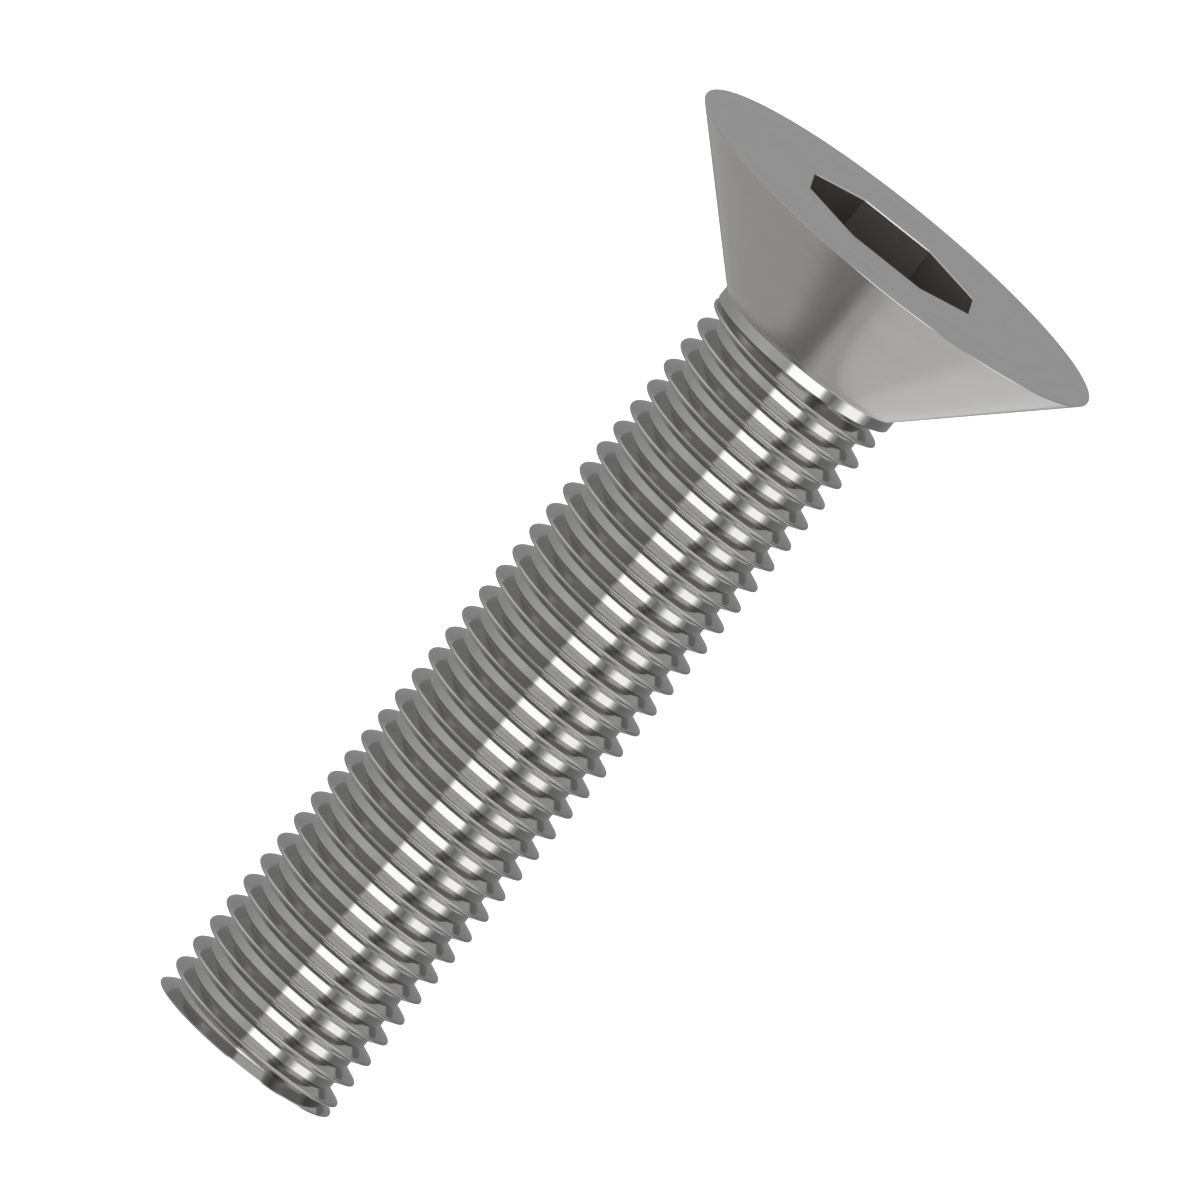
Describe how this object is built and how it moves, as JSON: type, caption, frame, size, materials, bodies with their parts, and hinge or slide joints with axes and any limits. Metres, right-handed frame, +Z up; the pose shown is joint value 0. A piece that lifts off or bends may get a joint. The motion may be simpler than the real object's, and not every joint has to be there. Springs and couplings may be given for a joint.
{
  "type": "cap screw",
  "caption": "Countersunk steel cap screw: wide conical head with a flat top and eight-sided drive socket, short plain collar and full-length coarse left-hand thread with a square-cut end.",
  "frame": {"origin": "centre of the square-cut end face, on the axis of the thread", "axes": "+Z runs up the axis from the cut end to the flat top of the head. The screw stands on its cut end. -Y faces the viewer of the picture and +X is to that viewer's right with the head up"},
  "size_m": [0.0364, 0.0364, 0.0776],
  "materials": {
    "steel": "plain steel, satin on the head and polished on the collar and thread"
  },
  "bodies": {
    "root": {"cap_screw": "steel"}
  },
  "joints": []
}
